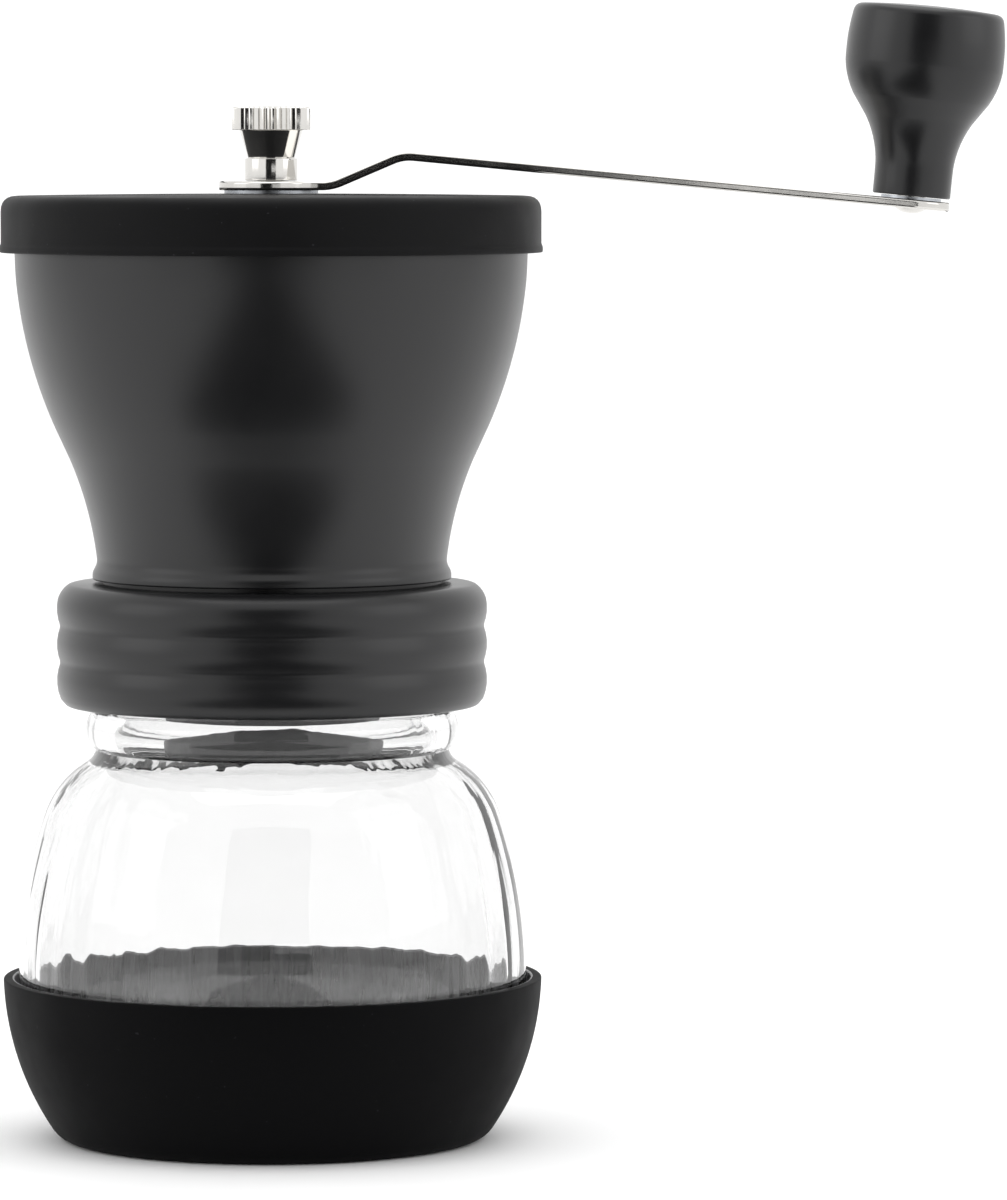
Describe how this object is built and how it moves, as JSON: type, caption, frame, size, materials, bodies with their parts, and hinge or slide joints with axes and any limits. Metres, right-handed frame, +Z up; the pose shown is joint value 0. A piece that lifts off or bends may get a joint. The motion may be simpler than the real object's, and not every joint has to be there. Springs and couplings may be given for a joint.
{
  "type": "hand crank coffee grinder",
  "caption": "Hand crank coffee grinder: tulip hopper with lid and bent steel crank over ceramic burrs, on a glass jar in a soft boot.",
  "frame": {"origin": "centre of the flat underside of the silicone boot", "axes": "+Z up along the shaft, +X from the shaft towards the knob"},
  "size_m": [0.1731, 0.0936, 0.1962],
  "materials": {
    "silicone": "matt moulded silicone",
    "seal_silicone": "translucent grey silicone",
    "glass": "clear pressed soda-lime glass",
    "satin_plastic": "satin moulded ABS, dark grey",
    "black_nylon": "glass-filled nylon",
    "acetal": "natural acetal",
    "ceramic": "sintered, unglazed",
    "polished_steel": "polished stainless steel",
    "zinc_steel": "turned and zinc-plated"
  },
  "bodies": {
    "boot": {"base_boot": "silicone"},
    "jar": {"jar": "glass"},
    "seal": {"jar_seal": "seal_silicone"},
    "head": {"collar": "satin_plastic", "hopper": "satin_plastic", "head_screws": "zinc_steel", "burr_carrier": "black_nylon", "outer_burr": "ceramic", "lower_bush": "acetal", "bearing_bridge": "black_nylon", "bridge_screws": "zinc_steel", "upper_bush": "acetal"},
    "thrust": {"thrust_washer": "zinc_steel", "lock_plate": "zinc_steel"},
    "adjuster": {"adjust_nut": "zinc_steel"},
    "drive": {"drive_shaft": "zinc_steel", "shaft_clip": "zinc_steel", "inner_burr": "ceramic", "burr_core": "black_nylon", "spring_washer": "zinc_steel", "burr_spring": "zinc_steel"},
    "lid": {"lid": "silicone"},
    "crank": {"crank_arm": "polished_steel", "arm_washer": "zinc_steel", "knob_pin": "polished_steel", "knob_washer": "zinc_steel"},
    "knob": {"knob": "satin_plastic"},
    "nut": {"thumb_nut": "polished_steel"}
  },
  "joints": [
    {"name": "jar_lift", "type": "slide", "parent": "boot", "child": "jar", "axis": [0, 0, 1], "range_m": [0, 0.03]},
    {"name": "head_rise", "type": "slide", "parent": "jar", "child": "seal", "axis": [0, 0, 1], "range_m": [0, 0.006]},
    {"name": "head_turn", "type": "hinge", "parent": "seal", "child": "head", "pos_m": [0, 0, 0.0933], "axis": [0, 0, 1], "range_deg": [0, 540]},
    {"name": "crank_turn", "type": "hinge", "parent": "head", "child": "thrust", "pos_m": [0, 0, 0.155], "axis": [0, 0, 1], "continuous": true},
    {"name": "adjust_turn", "type": "hinge", "parent": "thrust", "child": "adjuster", "pos_m": [0, 0, 0.157], "axis": [0, 0, -1], "range_deg": [0, 540]},
    {"name": "grind_rise", "type": "slide", "parent": "thrust", "child": "drive", "axis": [0, 0, 1], "range_m": [0, 0.0012], "deforming": ["burr_spring"]},
    {"name": "crank_lift", "type": "slide", "parent": "drive", "child": "crank", "axis": [0, 0, 1], "range_m": [0, 0.06]},
    {"name": "lid_lift", "type": "slide", "parent": "head", "child": "lid", "axis": [0, 0, 1], "range_m": [0, 0.036]},
    {"name": "nut_turn", "type": "hinge", "parent": "crank", "child": "nut", "pos_m": [0, 0, 0.17], "axis": [0, 0, 1], "range_deg": [0, 4320]},
    {"name": "knob_spin", "type": "hinge", "parent": "crank", "child": "knob", "pos_m": [0.1102, 0, 0.16244], "axis": [0.0946, 0, 0.9955], "continuous": true}
  ],
  "couplings": [
    {"joint": "head_rise", "follows": "head_turn", "m_per_rad": 0.00063662},
    {"joint": "adjust_turn", "follows": "grind_rise", "rad_per_m": 7854},
    {"joint": "lid_lift", "follows": "crank_lift", "ratio": 0.6}
  ]
}
